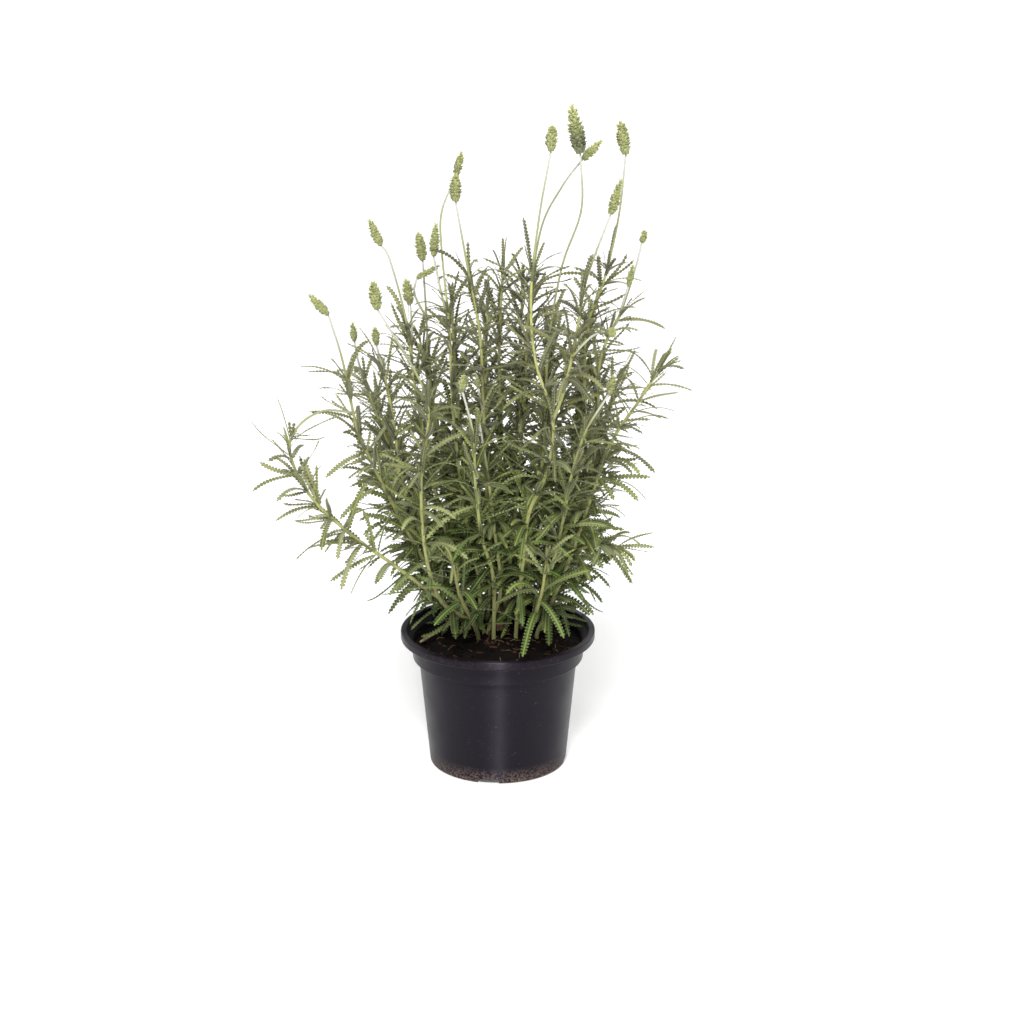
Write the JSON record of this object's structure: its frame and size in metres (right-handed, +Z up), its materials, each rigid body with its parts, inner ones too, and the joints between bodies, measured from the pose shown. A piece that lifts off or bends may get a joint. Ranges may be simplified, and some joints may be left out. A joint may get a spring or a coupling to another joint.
{
  "type": "potted lavender",
  "caption": "Fringed lavender with toothed leaves and pale green flower spikes on bare stalks, growing in a round black plastic nursery pot.",
  "frame": {"origin": "middle of the flat disc under the pot, on the surface that the pot stands on", "axes": "+Z up along the pot's axis, -Y towards the viewer of the picture, +X to that viewer's right"},
  "size_m": [0.282, 0.2187, 0.4751],
  "materials": {
    "pot": "black moulded plastic with a soft sheen, fine scuffs and soil dust",
    "soil": "dark brown moist potting soil with fibres and crumbs",
    "bark": "rough brown flaking bark",
    "dry_stalk": "pale dry plant stalk, matt",
    "foliage": "grey-green to fresh green leaves and stems with fine pale down",
    "flower_head": "yellow-green overlapping bracts with pale downy edges"
  },
  "bodies": {
    "root": {"pot": "pot", "soil": "soil", "crown": "bark", "dry_stick": "dry_stalk", "shoot_left_front": "foliage", "head_left_front": "flower_head", "shoot_front_left": "foliage", "head_front_left": "flower_head", "shoot_front_mid": "foliage", "head_front_mid": "flower_head", "shoot_front_right": "foliage", "head_front_right": "flower_head", "head_front_right_fork": "flower_head", "head_front_right_nod": "flower_head", "shoot_right_front": "foliage", "head_right_front": "flower_head", "shoot_middle_tall": "foliage", "head_middle_tall": "flower_head", "shoot_middle_lean": "foliage", "head_middle_lean": "flower_head", "shoot_right_tall": "foliage", "head_right_tall": "flower_head", "shoot_right_pale": "foliage", "head_right_pale": "flower_head", "head_right_pale_fork": "flower_head", "shoot_right_outer": "foliage", "shoot_right_inner": "foliage", "shoot_left_tall": "foliage", "head_left_tall": "flower_head", "head_left_tall_bud": "flower_head", "shoot_left_twin": "foliage", "head_left_twin": "flower_head", "head_left_twin_fork": "flower_head", "shoot_left_inner": "foliage", "shoot_left_lean": "foliage", "head_left_lean": "flower_head", "head_left_lean_fork": "flower_head", "shoot_left_back": "foliage", "head_left_back": "flower_head", "head_left_back_bent": "flower_head", "shoot_left_mid": "foliage", "head_left_mid": "flower_head", "shoot_left_far": "foliage", "head_left_far": "flower_head", "shoot_left_pale": "foliage", "head_left_pale": "flower_head", "shoot_middle_fan": "foliage", "shoot_back_fan": "foliage", "shoot_back_right": "foliage", "shoot_back_mid": "foliage", "shoot_back_wide": "foliage", "shoot_back_left_low": "foliage", "shoot_back_low": "foliage", "shoot_right_low": "foliage", "shoot_left_low": "foliage", "shoot_front_low_right": "foliage", "shoot_front_low_left": "foliage", "shoot_back_left": "foliage"}
  },
  "joints": []
}
